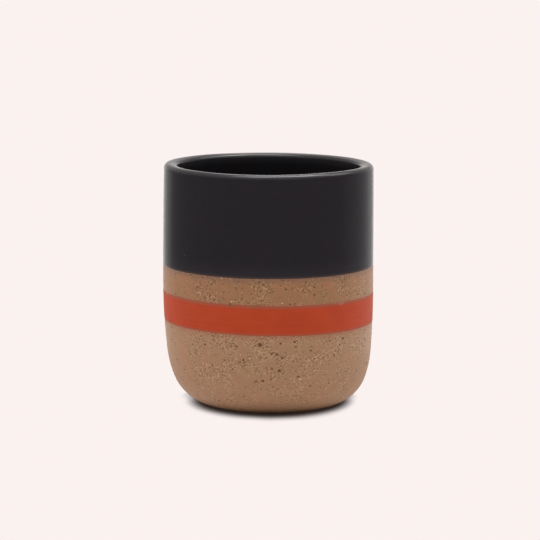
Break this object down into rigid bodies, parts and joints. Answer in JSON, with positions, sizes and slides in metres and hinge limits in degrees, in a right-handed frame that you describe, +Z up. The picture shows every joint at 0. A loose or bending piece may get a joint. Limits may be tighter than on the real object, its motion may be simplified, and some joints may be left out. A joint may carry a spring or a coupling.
{
  "type": "handleless cup",
  "caption": "Handleless stoneware cup with a rounded heel and rolled lip, bare speckled clay below with a painted band, and a dark glaze over the upper wall, lip and inside.",
  "frame": {"origin": "on the cup's axis, in the plane that its foot ring stands on", "axes": "+Z up along the axis out of the mouth; the cup is round, so +X and +Y are any two level directions at right angles, and the picture looks along +Y"},
  "size_m": [0.0824, 0.0824, 0.094],
  "materials": {
    "bare_stoneware": "matte",
    "dark_glaze": "satin",
    "liner_glaze": "satin",
    "orange_slip": "matte"
  },
  "bodies": {
    "root": {"stoneware_body": "bare_stoneware", "outer_glaze": "dark_glaze", "liner_glaze": "liner_glaze", "orange_band": "orange_slip"}
  },
  "joints": []
}
